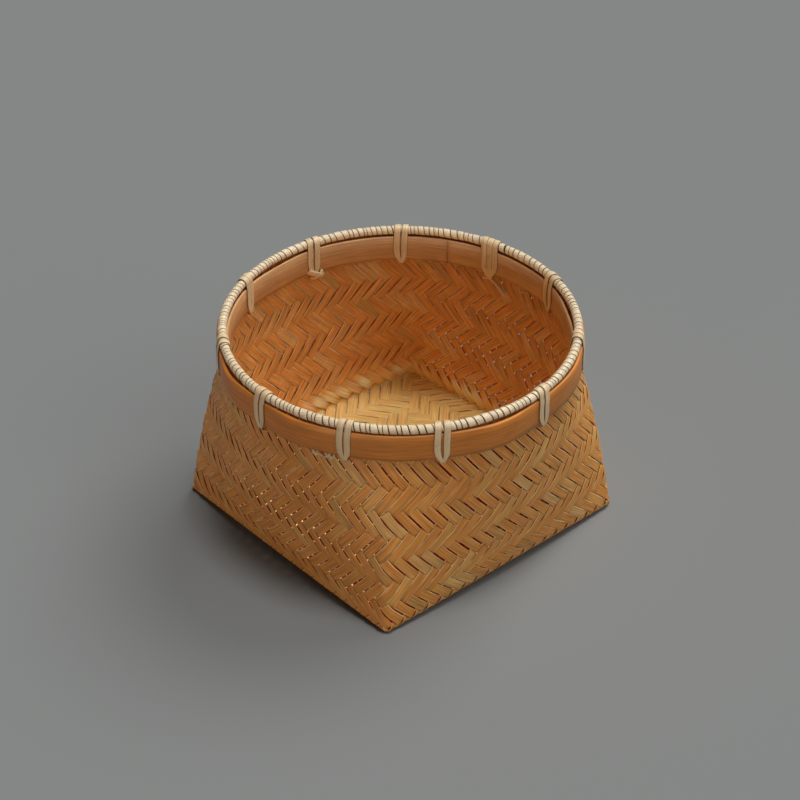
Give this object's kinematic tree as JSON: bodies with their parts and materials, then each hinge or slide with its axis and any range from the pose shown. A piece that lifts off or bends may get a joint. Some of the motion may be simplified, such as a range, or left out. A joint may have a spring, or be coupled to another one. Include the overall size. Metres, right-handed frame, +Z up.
{
  "type": "bamboo basket",
  "caption": "Small open bamboo basket, plaited in twill from a square foot up to a round mouth, with hooped, bound and lashed rim.",
  "frame": {"origin": "middle of the square underside, on the surface that the basket stands on", "axes": "+Z up out of the mouth, X and Y parallel to the sides of the foot"},
  "size_m": [0.1703, 0.1709, 0.1039],
  "materials": {
    "plait": "flat bamboo splints with a soft sheen along the grain",
    "inner_band": "planed pinkish-brown bamboo band with fine straight grain",
    "outer_band": "planed honey-tan bamboo band with fine straight grain",
    "cane_core": "raw round cane",
    "split_cane": "pale split cane with a smooth crowned face"
  },
  "bodies": {
    "root": {"woven_body": "plait", "inner_hoop": "inner_band", "outer_hoop": "outer_band", "rim_core": "cane_core", "rim_binder": "split_cane", "lashing_01": "split_cane", "lashing_02": "split_cane", "lashing_03": "split_cane", "lashing_04": "split_cane", "lashing_05": "split_cane", "lashing_06": "split_cane", "lashing_07": "split_cane", "lashing_08": "split_cane", "lashing_09": "split_cane", "lashing_10": "split_cane", "lashing_11": "split_cane"}
  },
  "joints": []
}
